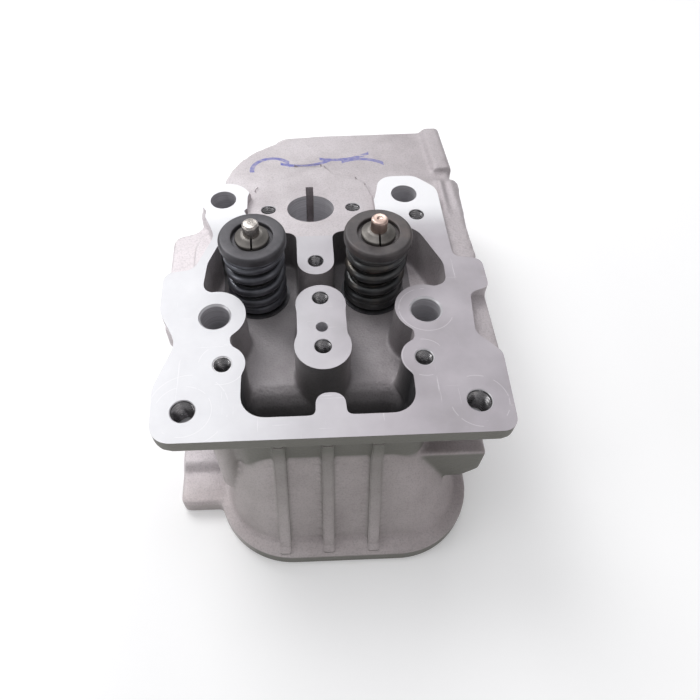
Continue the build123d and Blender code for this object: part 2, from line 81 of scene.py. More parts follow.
TILT = math.radians(8.0)
PAD_AXIS = np.array((0.0, math.sin(TILT), math.cos(TILT)))
INJECTOR_R = 9.7
NOSE_R = 6.0
NOZZLE_R = 3.9
KEY_SLOT = ((-1.6, 1.6), (0, 16.5), (-20, 6))
PIN_PLACE = (0.2, -37.3)
PIN_R = 2.1
PIN_DEPTH = 10.0
RIBS = (-15.8, 0.2, 16.6)
STOCK = 2.6             # metal left on machined faces until they are cut
VOXEL = 0.75
SMOOTHINGS = 9
PAST_X = (-90, 90)      # reach past the casting on every side
PAST_Y = (-130, 120)
BOLT_R = 5.25
FRONT_MOUTH = 0.65      # chamfer on the front bolt holes, which show a bright edge
REAR_MOUTH = 0.08
BOLTS = [(-37.5, -31.0), (-37.5, 31.0), (37.5, -31.0), (37.5, 31.0)]


# ---------------------------------------------------------------- mesh helpers
def make_object(name, verts, faces, materials=(), smooth=True, sharp_deg=35.0):
    """A mesh object from points in millimetres."""
    mesh = bpy.data.meshes.new(name)
    mesh.from_pydata([tuple(c * MM for c in v) for v in verts], [], faces)
    for material in materials:
        mesh.materials.append(material)
    obj = bpy.data.objects.new(name, mesh)
    bpy.context.scene.collection.objects.link(obj)
    bm = bmesh.new()
    bm.from_mesh(mesh)
    bmesh.ops.recalc_face_normals(bm, faces=bm.faces)
    bm.to_mesh(mesh)
    bm.free()
    if smooth:
        mesh.shade_smooth()
        mesh.set_sharp_from_angle(angle=math.radians(sharp_deg))
    return obj


def lathe(profile, segments=96):
    """Points and faces of a closed turned solid from its (radius, height) outline. Radius 0 closes it."""
    verts, faces, rings = [], [], []
    for radius, height in profile:
        if radius <= 1e-9:
            rings.append([len(verts)])
            verts.append((0.0, 0.0, height))
            continue
        rings.append(list(range(len(verts), len(verts) + segments)))
        for k in range(segments):
            a = 2 * math.pi * k / segments
            verts.append((radius * math.cos(a), radius * math.sin(a), height))
    count = len(rings)
    open_ends = len(rings[0]) == 1 and len(rings[-1]) == 1
    for i in range(count - 1 if open_ends else count):
        low, high = rings[i], rings[(i + 1) % count]
        for k in range(segments):
            n = (k + 1) % segments
            if len(low) == 1 and len(high) == 1:
                continue
            if len(low) == 1:
                faces.append((low[0], high[n], high[k]))
            elif len(high) == 1:
                faces.append((low[k], low[n], high[0]))
            else:
                faces.append((low[k], low[n], high[n], high[k]))
    return verts, faces


def placed(verts, matrix):
    """Points moved by a matrix in millimetres."""
    return [tuple(matrix @ Vector(v)) for v in verts]


def at(x, y, z=0.0):
    """A shift in millimetres, as a matrix."""
    return Matrix.Translation((x, y, z))


def injector_frame():
    """The injector's own axes in millimetres: +Z leaves its mouth, leaning back."""
    return at(*INJECTOR) @ Matrix.Rotation(-TILT, 4, "X")


def merged(parts):
    """Several (verts, faces) lists as one."""
    verts, faces = [], []
    for v, f in parts:
        base = len(verts)
        verts += list(v)
        faces += [tuple(i + base for i in face) for face in f]
    return verts, faces


def box_part(x, y, z):
    """A box from its (low, high) pairs."""
    verts = [(a, b, c) for c in z for b in y for a in x]
    faces = [(0, 2, 3, 1), (4, 5, 7, 6), (0, 1, 5, 4), (2, 6, 7, 3), (0, 4, 6, 2), (1, 3, 7, 5)]
    return verts, faces


def rounded(corners, steps=8):
    """Outline points from (x, y, radius) corners."""
    points = []
    n = len(corners)
    for i, (x, y, r) in enumerate(corners):
        here = Vector((x, y))
        before = Vector(corners[i - 1][:2]) - here
        after = Vector(corners[(i + 1) % n][:2]) - here
        if r <= 0:
            points.append((x, y))
            continue
        half = before.angle(after) / 2
        reach = min(r / math.tan(half), before.length * 0.49, after.length * 0.49)
        r = reach * math.tan(half)
        centre = here + (before.normalized() + after.normalized()).normalized() * (r / math.sin(half))
        start = here + before.normalized() * reach - centre
        end = here + after.normalized() * reach - centre
        a0 = math.atan2(start.y, start.x)
        turn = (math.atan2(end.y, end.x) - a0 + math.pi) % (2 * math.pi) - math.pi
        for k in range(steps + 1):
            a = a0 + turn * k / steps
            points.append((centre.x + r * math.cos(a), centre.y + r * math.sin(a)))
    return points


def prism(points, low, high):
    """A closed solid of that outline between two heights."""
    n = len(points)
    verts = [(x, y, low) for x, y in points] + [(x, y, high) for x, y in points]
    faces = [tuple(reversed(range(n))), tuple(range(n, 2 * n))]
    faces += [(k, (k + 1) % n, n + (k + 1) % n, n + k) for k in range(n)]
    return verts, faces


def apply_modifiers(obj):
    """Bakes an object's modifiers into its mesh."""
    bpy.context.view_layer.update()
    graph = bpy.context.evaluated_depsgraph_get()
    mesh = bpy.data.meshes.new_from_object(obj.evaluated_get(graph))
    old = obj.data
    obj.modifiers.clear()
    obj.data = mesh
    bpy.data.meshes.remove(old)
    return obj


def combine(obj, part, name, operation):
    """Joins (verts, faces) to obj, or takes them away."""
    tool = make_object(name, *part, smooth=False)
    boolean = obj.modifiers.new(name, "BOOLEAN")
    boolean.operation = operation
    boolean.solver = "MANIFOLD"
    boolean.object = tool
    apply_modifiers(obj)
    bpy.data.objects.remove(tool)
    return obj


def cut(obj, part, name):
    """Takes a closed solid, or several that don't touch, away from obj."""
    return combine(obj, part, name, "DIFFERENCE")


def add(obj, part, name):
    """Adds a closed solid, or several that don't touch, to obj."""
    return combine(obj, part, name, "UNION")


# ---------------------------------------------------------------- holes
def tapped(place, major, depth, pitch, chamfer, matrix=None):
    """A tapped hole: its axes, its thread's outside radius and pitch, its depth and mouth chamfer."""
    axes = matrix if matrix is not None else at(place[0], place[1], TOP)
    return {"m": axes, "r": major, "depth": depth, "pitch": pitch, "chamfer": chamfer}


PORT_AXES = Matrix.Rotation(-math.pi / 2, 4, "X")
TAPPED = {
    "corner_left": tapped((-45.6, -69.1), 4.0, 10.5, 1.25, 0.25),
    "corner_right": tapped((49.0, -69.1), 4.0, 10.5, 1.25, 0.25),
    "cover_left": tapped((-33.9, -51.6), 3.0, 18.0, 1.0, 0.4),
    "cover_right": tapped((33.9, -51.6), 3.0, 18.0, 1.0, 0.4),
    "rocker_rear": tapped((0.2, -24.0), 3.0, 16.0, 1.0, 0.12),
    "rocker_front": tapped((0.2, -45.6), 3.0, 16.0, 1.0, 0.12),
    "tongue": tapped((-0.7, -5.6), 3.0, 14.0, 1.0, 0.12),
    "rear": tapped((41.0, 18.2), 3.0, 12.0, 1.0, 0.12),
}
for side, word in ((-1, "left"), (1, "right")):
    stud_axes = injector_frame() @ at(side * 17.5, 0)
    TAPPED["injector_" + word] = tapped(None, 3.0, 15.0, 1.0, 0.2, stud_axes)
for port, x in PORT_EXIT_X.items():
    for word, z in PORT_STUD_Z.items():
        stud_axes = at(x, PORT_Y, z) @ PORT_AXES
        TAPPED[f"{port}_port_{word}"] = tapped(None, 4.0, 17.0, 1.25, 0.3, stud_axes)


def hole_cutter(matrix, radius, depth, chamfer):
    """A blind drilled hole with a chamfered mouth and a drill point, mouth at the matrix's origin."""
    tip = depth + radius * 0.55
    mouth = radius + chamfer
    profile = [(0, -tip), (radius, -depth), (radius, -chamfer), (mouth, 0.0), (mouth + 2, 2.0), (0, 2.0)]
    verts, faces = lathe(profile, 64)
    return placed(verts, matrix), faces


def thread_sleeve(name, hole):
    """The thread of a tapped hole, as a thin sleeve in its wall."""
    major = hole["r"]
    pitch = hole["pitch"]
    minor = major - 0.49 * pitch
    length = hole["depth"] - 0.4
    columns = 40
    rows = max(8, int(length / pitch * 6))
    verts, faces = [], []
    for i in range(rows + 1):
        z = -0.3 - length * i / rows
        fade = min(1.0, i / 5.0)
        for k in range(columns):
            a = 2 * math.pi * k / columns
            phase = (z / pitch - k / columns) % 1.0
            tooth = max(0.0, 1.0 - abs(phase - 0.5) * 2.4)
            r = major - (major - minor) * tooth * fade
            verts.append((r * math.cos(a), r * math.sin(a), z))
    outer = len(verts)
    for i in (0, rows):
        z = -0.3 - length * i / rows
        for k in range(columns):
            a = 2 * math.pi * k / columns
            verts.append(((major + 0.08) * math.cos(a), (major + 0.08) * math.sin(a), z))
    for i in range(rows):
        for k in range(columns):
            n = (k + 1) % columns
            faces.append((i * columns + k, i * columns + n, (i + 1) * columns + n, (i + 1) * columns + k))
    for k in range(columns):
        n = (k + 1) % columns
        faces.append((k, n, outer + n, outer + k))
        faces.append((rows * columns + k, rows * columns + n, outer + columns + n, outer + columns + k))
        faces.append((outer + k, outer + n, outer + columns + n, outer + columns + k))
    obj = make_object(name, placed(verts, hole["m"]), faces, [MATS["thread"]], sharp_deg=50)
    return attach(obj, "head")


# ---------------------------------------------------------------- materials
def new_material(name):
    """A new material, with its node tree and shader."""
    material = bpy.data.materials.new(name)
    material.use_nodes = True
    tree = material.node_tree
    shader = tree.nodes["Principled BSDF"]
    return material, tree, shader


def node(tree, kind, inputs=None, **settings):
    """Adds a node. Each input is a value or another node's output."""
    made = tree.nodes.new(kind)
    for key, value in settings.items():
        setattr(made, key, value)
    for key, value in (inputs or {}).items():
        if isinstance(value, bpy.types.NodeSocket):
            tree.links.new(value, made.inputs[key])
        else:
            made.inputs[key].default_value = value
    return made


def place_coords(tree, scale=(1, 1, 1), rotation=(0, 0, 0)):
    """Each point's own place, in metres, stretched and turned if asked."""
    coord = node(tree, "ShaderNodeTexCoord")
    inputs = {"Vector": coord.outputs["Object"], "Scale": scale, "Rotation": rotation}
    return node(tree, "ShaderNodeMapping", inputs).outputs["Vector"]


def noise(tree, vector, scale, detail=3.0, rough=0.55):
    """Soft random values round 0.5."""
    inputs = {"Vector": vector, "Scale": scale, "Detail": detail, "Roughness": rough}
    return node(tree, "ShaderNodeTexNoise", inputs).outputs["Fac"]


def ramp(tree, value, stops):
    """A colour for the value, from (position, colour) stops."""
    made = node(tree, "ShaderNodeValToRGB", {"Fac": value})
    elements = made.color_ramp.elements
    while len(elements) < len(stops):
        elements.new(0.5)
    for element, (position, colour) in zip(elements, stops):
        element.position = position
        element.color = (*colour, 1)
    return made.outputs["Color"]


def mix_colour(tree, factor, a, b, blend="MIX"):
    """Mixes two colours. The mix node's colour sockets are numbers 6 and 7, and its result is number 2."""
    made = node(tree, "ShaderNodeMix", data_type="RGBA", blend_type=blend)
    for key, value in ((0, factor), (6, a), (7, b)):
        if isinstance(value, bpy.types.NodeSocket):
            tree.links.new(value, made.inputs[key])
        else:
            made.inputs[key].default_value = value if key == 0 else (*value, 1)
    return made.outputs[2]


def maths(tree, operation, a, b=0.0, clamp=False):
    """One sum on two values or outputs."""
    made = node(tree, "ShaderNodeMath", operation=operation, use_clamp=clamp)
    for key, value in ((0, a), (1, b)):
        if isinstance(value, bpy.types.NodeSocket):
            tree.links.new(value, made.inputs[key])
        else:
            made.inputs[key].default_value = value
    return made.outputs[0]


def spread(tree, value, low, high):
    """A value of 0 to 1, put between low and high."""
    inputs = {"Value": value, "To Min": low, "To Max": high}
    return node(tree, "ShaderNodeMapRange", inputs).outputs["Result"]


def times(tree, a, b, clamp=False):
    """The product of two values or outputs."""
    return maths(tree, "MULTIPLY", a, b, clamp)


def parts_of(tree, vector):
    """The x, y and z of a vector."""
    split = node(tree, "ShaderNodeSeparateXYZ", {"Vector": vector})
    return [split.outputs[key] for key in "XYZ"]


def bump(tree, shader, height, distance, strength=1.0, after=None):
    """Adds a bump, on top of an earlier one, and gives its normal."""
    inputs = {"Height": height, "Distance": distance, "Strength": strength}
    if after is not None:
        inputs["Normal"] = after
    made = node(tree, "ShaderNodeBump", inputs)
    tree.links.new(made.outputs["Normal"], shader.inputs["Normal"])
    return made.outputs["Normal"]


def ring_line(tree, vector, centre, radius, width):
    """1 on a thin circle in plan round centre, in millimetres, else 0."""
    shift = (-centre[0] * MM, -centre[1] * MM, 0)
    moved = node(tree, "ShaderNodeVectorMath", {0: vector, 1: shift}, operation="ADD").outputs[0]
    flat = node(tree, "ShaderNodeVectorMath", {0: moved, 1: (1, 1, 0)}, operation="MULTIPLY").outputs[0]
    away = node(tree, "ShaderNodeVectorMath", {0: flat}, operation="LENGTH").outputs["Value"]
    off = maths(tree, "ABSOLUTE", maths(tree, "SUBTRACT", away, radius * MM))
    return maths(tree, "LESS_THAN", off, width * MM)


def within(tree, value, low, high):
    """1 while a length, in millimetres, lies between low and high."""
    above = maths(tree, "GREATER_THAN", value, low * MM)
    below = maths(tree, "LESS_THAN", value, high * MM)
    return times(tree, above, below)


INK_WIDTH = 1.05
INK_ABOVE = 50.0
INK_ARCS = (            # centre, radius, x from and to, y from and to
    ((-18, 60), 9, (-30, -10), (58, 72)),
    ((-4, 84), 22, (-14, 9), (56, 70)),
    ((22, 50), 16, (14, 33), (60, 72)),
    ((12, 92), 26, (4, 27), (60, 72)),
)


def ink_strokes(tree, here):
    """A few loose marker strokes on the rear plate, each part of a circle."""
    x, y, z = parts_of(tree, here)
    total = None
    for centre, radius, across, along in INK_ARCS:
        line = ring_line(tree, here, centre, radius, INK_WIDTH)
        line = times(tree, line, within(tree, x, *across))
        line = times(tree, line, within(tree, y, *along))
        total = line if total is None else maths(tree, "MAXIMUM", total, line)
    worn = spread(tree, noise(tree, here, 500, 3), 0.0, 1.3)
    on_top = maths(tree, "GREATER_THAN", z, INK_ABOVE * MM)
    return times(tree, times(tree, total, worn), on_top, True)


def slope(tree, value, start, end, least=0.0):
    """Rises from least at start to 1 at end, both in millimetres."""
    inputs = {"Value": value, "From Min": start * MM, "From Max": end * MM, "To Min": least}
    return node(tree, "ShaderNodeMapRange", inputs, clamp=True).outputs["Result"]


def chamber_shade_and_oil(tree, here):
    """How much painted shade, mixed with patchy oil film, darkens the rocker chamber: most at its front, then
    behind the springs and at its sides.
    """
    x, y, z = parts_of(tree, here)
    narrow = times(tree, within(tree, x, -31.5, 31.5), within(tree, y, -71.5, -25))
    wide = times(tree, within(tree, x, -38, 38), within(tree, y, -25.01, 23))
    below_face = maths(tree, "LESS_THAN", z, (TOP - 0.05) * MM)
    height = times(tree, slope(tree, z, 3, 12), below_face)
    inside = times(tree, maths(tree, "MAXIMUM", narrow, wide), height)
    # painted shade by depth: darkest at the chamber's front, then behind the springs and at its sides; the
    # noise patches stand for oil
    front = times(tree, slope(tree, y, -45, -58), 0.94)
    rear = times(tree, slope(tree, y, -14, -2), 0.62)
    flanks = times(tree, slope(tree, maths(tree, "ABSOLUTE", x), 19, 29), 0.50)
    patches = spread(tree, noise(tree, here, 38, 3), 0.12, 0.62)
    ends = maths(tree, "MAXIMUM", front, rear)
    rest = maths(tree, "MAXIMUM", flanks, patches)
    return times(tree, maths(tree, "MAXIMUM", ends, rest), inside, True)


def cast_tone(tree, here):
    """Mottled and speckled aluminium, with painted light making it paler towards -X and painted shade making
    it greyer towards +X.
    """
    x = parts_of(tree, here)[0]
    mottle = noise(tree, here, 60, 5, 0.6)
    pale = (0.68, 0.64, 0.66)
    colour = ramp(tree, mottle, [(0.25, (0.50, 0.46, 0.475)), (0.5, (0.60, 0.56, 0.575)), (0.78, pale)])
    speck = ramp(tree, noise(tree, here, 1600, 3, 0.6), [(0.30, (0.74, 0.74, 0.74)), (0.55, (1.0, 1.0, 1.0))])
    colour = mix_colour(tree, 0.8, colour, speck, "MULTIPLY")
    # painted light and shade across the casting: brighter on the -X side, greyer on the +X side
    painted_light_sides = [(0.0, (1.16, 1.16, 1.16)), (0.4, (1.0, 1.0, 1.0)), (1.0, (0.80, 0.785, 0.79))]
    return mix_colour(tree, 1.0, colour, ramp(tree, slope(tree, x, -50, 50), painted_light_sides), "MULTIPLY")


def front_warmth_and_painted_shade(tree, here, colour):
    """The pushrod tunnel's skin: a little warmer, with painted shade darkening its upright faces."""
    x, y, z = parts_of(tree, here)
    facing = node(tree, "ShaderNodeNewGeometry").outputs["Normal"]
    steepness = {"Value": parts_of(tree, facing)[2], "From Min": 0.45, "From Max": 0.05}
    upright = node(tree, "ShaderNodeMapRange", steepness, clamp=True).outputs["Result"]
    front = slope(tree, y, -58, -74)
    right = slope(tree, x, -36, -26, 0.35)
    high = slope(tree, z, 53, 56)
    # painted shade: upright front faces darkened, fully towards +X and just under the flange, less towards -X
    painted_shade = times(tree, times(tree, upright, front), maths(tree, "MAXIMUM", right, high))
    # the olive dark colour is the painted shade
    colour = mix_colour(tree, times(tree, painted_shade, 0.92), colour, (0.165, 0.17, 0.15))
    warmed = mix_colour(tree, 1.0, colour, (0.84, 0.80, 0.76), "MULTIPLY")
    return mix_colour(tree, times(tree, front, 0.55), colour, warmed)


def cast_material(name, grain_depth, marked_and_shaded):
    """As-cast aluminium. Where asked, it also has the marker strokes, and the rocker chamber's painted shade
    mixed with patchy oil.
    """
    material, tree, shader = new_material(name)
    here = place_coords(tree)
    grain = noise(tree, here, 1600, 3, 0.6)
    cells = node(tree, "ShaderNodeTexVoronoi", {"Vector": here, "Scale": 900}, feature="F1")
    pits = cells.outputs["Distance"]
    colour = front_warmth_and_painted_shade(tree, here, cast_tone(tree, here))
    if marked_and_shaded:
        ink = times(tree, ink_strokes(tree, here), 0.9)
        colour = mix_colour(tree, ink, colour, (0.06, 0.08, 0.42))
        # painted shade, with patchy oil, darkens the inside of the rocker chamber
        colour = mix_colour(tree, chamber_shade_and_oil(tree, here), colour, (0.022, 0.024, 0.028))
    tree.links.new(colour, shader.inputs["Base Color"])
    tree.links.new(spread(tree, grain, 0.50, 0.68), shader.inputs["Roughness"])
    shader.inputs["Metallic"].default_value = 0.35
    first = bump(tree, shader, grain, grain_depth, 0.5)
    second = bump(tree, shader, pits, grain_depth * 1.3, 0.25, first)
    bump(tree, shader, noise(tree, here, 240, 4), grain_depth * 3.5, 0.35, second)
    return material


CUTTER_RINGS = (        # centre and radius of faint tool circles on the milled face
    ((-45.6, -69.1), 9.2),
    ((-44, -68.5), 13.0),
    ((49, -69.1), 9.4),
    ((33.9, -51.6), 7.4),
    ((37.5, -31), 9.6),
    ((-33.9, -51.6), 8.0),
)


def stray_lines(tree, here):
    """1 on scratches and on broken tool circles, else 0."""
    scratch_a = noise(tree, place_coords(tree, (30, 900, 1), (0, 0, 0.5)), 1.0, 4, 0.7)
    scratch_b = noise(tree, place_coords(tree, (700, 25, 1), (0, 0, 0.25)), 1.0, 4, 0.7)
    scratch_a = maths(tree, "GREATER_THAN", scratch_a, 0.67)
    scratch_b = maths(tree, "GREATER_THAN", scratch_b, 0.68)
    lines = maths(tree, "ADD", scratch_a, scratch_b, True)
    broken = maths(tree, "GREATER_THAN", noise(tree, here, 130, 2), 0.47)
    for centre, radius in CUTTER_RINGS:
        ring = times(tree, ring_line(tree, here, centre, radius, 0.13), broken)
        lines = maths(tree, "ADD", lines, ring, True)
    return lines


def machined_material():
    """Fly-cut face: bright, with spot-face circles, stray scratches, a duller right side that is painted
    shade with some handling stains, and a painted highlight towards its rear.
    """
    material, tree, shader = new_material("machined_aluminium")
    here = place_coords(tree)
    x, y, _ = parts_of(tree, here)
    brushed = noise(tree, place_coords(tree, (40, 1500, 1), (0, 0, 0.12)), 1.0, 4, 0.7)
    lines = stray_lines(tree, here)
    cloud = noise(tree, here, 45, 4)
    # painted shade on the right side of the face, mixed with real handling stains
    dull = times(tree, slope(tree, x, -34, 20), slope(tree, y, 22, 4))
    clean = ramp(tree, cloud, [(0.3, (0.56, 0.56, 0.58)), (0.7, (0.67, 0.67, 0.69))])
    middling = (0.43, 0.40, 0.43)
    stained_and_shaded = ramp(tree, cloud, [(0.3, (0.36, 0.335, 0.355)), (0.5, middling), (0.7, (0.50, 0.47, 0.50))])
    colour = mix_colour(tree, dull, clean, stained_and_shaded)
    # painted highlight: the rear of the face is lightened, as where the back lamp glints on it
    rear = times(tree, slope(tree, y, 12, 24), 0.75)
    colour = mix_colour(tree, rear, colour, (0.86, 0.86, 0.88))
    colour = mix_colour(tree, times(tree, lines, 0.30), colour, (0.86, 0.84, 0.86))
    tree.links.new(colour, shader.inputs["Base Color"])
    shader.inputs["Metallic"].default_value = 0.3
    rough = maths(tree, "ADD", spread(tree, cloud, 0.44, 0.58), times(tree, dull, 0.04))
    tree.links.new(rough, shader.inputs["Roughness"])
    first = bump(tree, shader, brushed, 0.00002, 0.4)
    bump(tree, shader, lines, 0.00004, 0.35, first)
    return material


def bore_material():
    """Drilled or bored wall with fine turning rings."""
    material, tree, shader = new_material("bored_aluminium")
    here = place_coords(tree)
    rings = noise(tree, place_coords(tree, (60, 60, 2600)), 1.0, 3)
    colour = ramp(tree, rings, [(0.3, (0.50, 0.49, 0.51)), (0.7, (0.74, 0.73, 0.76))])
    tree.links.new(colour, shader.inputs["Base Color"])
    shader.inputs["Metallic"].default_value = 0.35
    tree.links.new(spread(tree, noise(tree, here, 300), 0.28, 0.42), shader.inputs["Roughness"])
    bump(tree, shader, rings, 0.00005, 0.4)
    return material


def steel_material(name, dark, light, rough, metallic=1.0, grain=900, depth=0.00004, tint=None):
    """Turned or treated metal, or rubber, with clouded colour and fine marks."""
    material, tree, shader = new_material(name)
    here = place_coords(tree)
    cloud = noise(tree, here, 220, 4, 0.6)
    fine = noise(tree, here, grain, 3)
    colour = ramp(tree, cloud, [(0.3, dark), (0.7, light)])
    if tint is not None:
        patches = ramp(tree, noise(tree, here, 90, 5, 0.65), [(0.50, (0, 0, 0)), (0.72, (1, 1, 1))])
        colour = mix_colour(tree, patches, colour, tint)
    tree.links.new(colour, shader.inputs["Base Color"])
    shader.inputs["Metallic"].default_value = metallic
    tree.links.new(spread(tree, fine, rough - 0.07, rough + 0.08), shader.inputs["Roughness"])
    bump(tree, shader, fine, depth, 0.4)
    return material


MATS = {
    "cast": cast_material("as_cast_aluminium", 0.00022, True),
    "pad": cast_material("milled_pad", 0.00006, False),
    "machined": machined_material(),
    "bore": bore_material(),
}
STEELS = {              # name, dark and light colour, roughness, metallic, worn tint
    "thread": ("tapped_aluminium", (0.30, 0.295, 0.30), (0.48, 0.47, 0.48), 0.24, 0.95, None),
    "spring": ("black_oxide_spring", (0.11, 0.113, 0.132), (0.175, 0.18, 0.20), 0.34, 0.75, None),
    "spring_warm": ("black_oxide_spring_warm", (0.070, 0.075, 0.080), (0.12, 0.12, 0.12), 0.34, 0.75,
                    (0.14, 0.12, 0.10)),
    "retainer": ("phosphated_retainer", (0.062, 0.060, 0.066), (0.10, 0.097, 0.105), 0.46, 0.5, None),
    "retainer_warm": ("phosphated_retainer_warm", (0.072, 0.066, 0.068), (0.11, 0.10, 0.10), 0.48, 0.5,
                      (0.14, 0.11, 0.10)),
    "collet": ("phosphated_collet", (0.15, 0.14, 0.13), (0.24, 0.225, 0.21), 0.42, 0.6, None),
    "stem": ("ground_valve_steel", (0.50, 0.46, 0.43), (0.68, 0.64, 0.60), 0.28, 1.0, None),
    "stem_warm": ("worn_valve_steel", (0.52, 0.38, 0.33), (0.72, 0.56, 0.50), 0.32, 1.0,
                  (0.60, 0.36, 0.29)),
    "seat": ("seat_iron", (0.24, 0.23, 0.23), (0.34, 0.33, 0.32), 0.35, 1.0, None),
    "guide": ("guide_iron", (0.14, 0.135, 0.13), (0.22, 0.21, 0.20), 0.45, 1.0, None),
    "washer": ("hardened_washer", (0.12, 0.12, 0.13), (0.20, 0.20, 0.21), 0.40, 1.0, None),
    "clip": ("bright_wire", (0.42, 0.41, 0.41), (0.60, 0.59, 0.58), 0.25, 1.0, None),
}
for key, (name, dark, light, rough, metallic, tint) in STEELS.items():
    MATS[key] = steel_material(name, dark, light, rough, metallic, tint=tint)
MATS["rubber"] = steel_material("seal_rubber", (0.018, 0.018, 0.018), (0.035, 0.034, 0.033), 0.62, 0.0,
                                grain=1400, depth=0.00008)


# ---------------------------------------------------------------- the casting
PAD_REAR = [            # rear part of the injector pad's outline, in the injector's axes: x, y, radius
    (24.5, 16, 9), (20.5, 23, 8), (10.4, 27.0, 2), (6.8, 34.0, 2), (-6.6, 34.0, 2), (-16, 25.5, 6),
    (-23, 15.5, 8),
]
PAD_FRONT = [(-26, -8, 8), (-19, -14, 6), (-8, -22, 8), (8, -22, 8), (19, -14, 6)]
INJECTOR_BORE = [       # radius and height of the stepped bore
    (0, -90), (NOZZLE_R, -90), (NOZZLE_R, -52.2), (NOSE_R, -52), (NOSE_R, -25.2), (INJECTOR_R, -25),
    (INJECTOR_R, 0), (INJECTOR_R + 2, 2), (0, 2),
]


def turned(profile, matrix, segments):
    """A turned solid in its place."""
    verts, faces = lathe(profile, segments)
    return placed(verts, matrix), faces


def bar(radius, low, high, matrix, segments):
    """A plain cylinder along its own Z."""
    return turned([(0, low), (radius, low), (radius, high), (0, high)], matrix, segments)


def with_stock():
    """A copy of the CAD casting with metal left on its machined faces."""
    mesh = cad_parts["head_casting"].data.copy()
    mesh.name = "head_casting_visual"
    points = np.empty(len(mesh.vertices) * 3)
    mesh.vertices.foreach_get("co", points)
    points = points.reshape(-1, 3) / MM
    x, y, z = points.T.copy()
    off_pad = (points - np.array(INJECTOR)) @ PAD_AXIS
    over_pad = (np.abs(x - INJECTOR[0]) < 27) & (y > 5) & (y < 62)
    points[(np.abs(off_pad) < 0.02) & (z < TOP - 0.05) & over_pad] += PAD_AXIS * STOCK
    points[z > TOP - 0.01, 2] += STOCK
    points[z < 0.01, 2] -= STOCK
    points[y > PORT_Y - 0.01, 1] += STOCK
    mesh.vertices.foreach_set("co", (points * MM).ravel())
    mesh.materials.clear()
    raw = bpy.data.objects.new("head_casting_skin", mesh)
    bpy.context.scene.collection.objects.link(raw)
    return raw


def plug_holes(raw):
    """Fills every drilled hole, so that smoothing leaves its place solid until it is cut again."""
    plugs = [bar(hole["r"] + 1.2, -hole["depth"] - 1, STOCK, hole["m"], 32) for hole in TAPPED.values()]
    plugs += [bar(6.6, -STOCK, TOP + STOCK, at(x, y), 32) for x, y in BOLTS]
    injector = [(0, -50), (3.2, -50), (10.6, -24), (10.6, STOCK), (0, STOCK)]
    plugs.append(turned(injector, injector_frame(), 32))
    key, faces = box_part((-2.6, 2.6), (0, 17.5), (-21, STOCK))
    plugs.append((placed(key, injector_frame()), faces))
    plugs.append(bar(2.9, -12, STOCK, at(*PIN_PLACE, TOP), 24))
    plug_object = make_object("plugs", *merged(plugs), smooth=False)
    bpy.ops.object.select_all(action="DESELECT")
    raw.select_set(True)
    plug_object.select_set(True)
    bpy.context.view_layer.objects.active = raw
    bpy.ops.object.join()


def soften(raw):
    """Rounds all edges as a sand casting's are."""
    remesh = raw.modifiers.new("skin", "REMESH")
    remesh.mode = "VOXEL"
    remesh.voxel_size = VOXEL * MM
    smooth = raw.modifiers.new("cast_edges", "SMOOTH")
    smooth.factor = 0.5
    smooth.iterations = SMOOTHINGS
    apply_modifiers(raw)


def add_ribs(raw):
    """The three ribs down the front wall, each a wide low bar under a narrower one."""
    for x in RIBS:
        for half, back in ((2.0, 0.25), (1.55, 0.0)):
            side_view = [
                (-97.6, 5.0), (-97.6 + back, 7.0), (-95.5 + back, 8.0), (-79.5 + back, 45),
                (-79.5 + back, 57), (-76.3, 57), (-76.3, 45), (-92.0, 5.0),
            ]
            verts, faces = prism(side_view, -half, half)
            add(raw, ([(x + c, a, b) for a, b, c in verts], faces), "rib")


def machine_faces(raw):
    """Cuts the injector pad, cover face, base and port face flat."""
    pad_block = rounded([(26.2, 3, 2), (26.2, 6, 6)] + PAD_REAR + [(-26, 5, 6), (-26, 3, 2)])
    verts, faces = prism(pad_block, -3.0, 1.0)
    add(raw, (placed(verts, injector_frame()), faces), "pad_block")
    slabs = [box_part(PAST_X, PAST_Y, (TOP, TOP + 12)), box_part(PAST_X, PAST_Y, (-12, 0))]
    cut(raw, merged(slabs), "faces")
    cut(raw, box_part(PAST_X, (PORT_Y, PORT_Y + 12), (-20, 90)), "port_face")
    outline = rounded([(26.2, -8, 8), (26.2, 6, 6)] + PAD_REAR + [(-26, 5, 8)] + PAD_FRONT)
    verts, faces = prism(outline, 0.0, 8.0)
    cut(raw, (placed(verts, injector_frame()), faces), "pad")


def drill_holes(raw):
    """Bores the bolt, tapped, pin and injector holes."""
    holes = [hole_cutter(hole["m"], hole["r"], hole["depth"], hole["chamfer"]) for hole in TAPPED.values()]
    for x, y in BOLTS:
        edge = FRONT_MOUTH if y < 0 else REAR_MOUTH
        mouth = [(BOLT_R, TOP - edge), (BOLT_R + edge, TOP), (BOLT_R + edge + 2, TOP + 2)]
        holes.append(turned([(0, -3), (BOLT_R, -3)] + mouth + [(0, TOP + 2)], at(x, y), 72))
    holes.append(hole_cutter(at(*PIN_PLACE, TOP), PIN_R, PIN_DEPTH, 0.1))
    cut(raw, merged(holes), "holes")
    cut(raw, turned(INJECTOR_BORE, injector_frame(), 96), "injector")
    verts, faces = box_part(*KEY_SLOT)
    cut(raw, (placed(verts, injector_frame()), faces), "key")


def bore_valve_holes(raw):
    """Bores the seat counterbores, spring pockets and guide holes."""
    bores = []
    for name, (x, y) in VALVES.items():
        bores.append(bar(HEAD_RADII[name] + SEAT_WALL, -3, SEAT_DEPTH, at(x, y), 96))
        bores.append(bar(POCKET_R, FLOOR_Z, FLOOR_Z + POCKET_CUT, at(x, y), 96))
        bores.append(bar(GUIDE_BORE_R, 22, FLOOR_Z - 0.2, at(x, y), 64))
    cut(raw, merged(bores), "valve_bores")


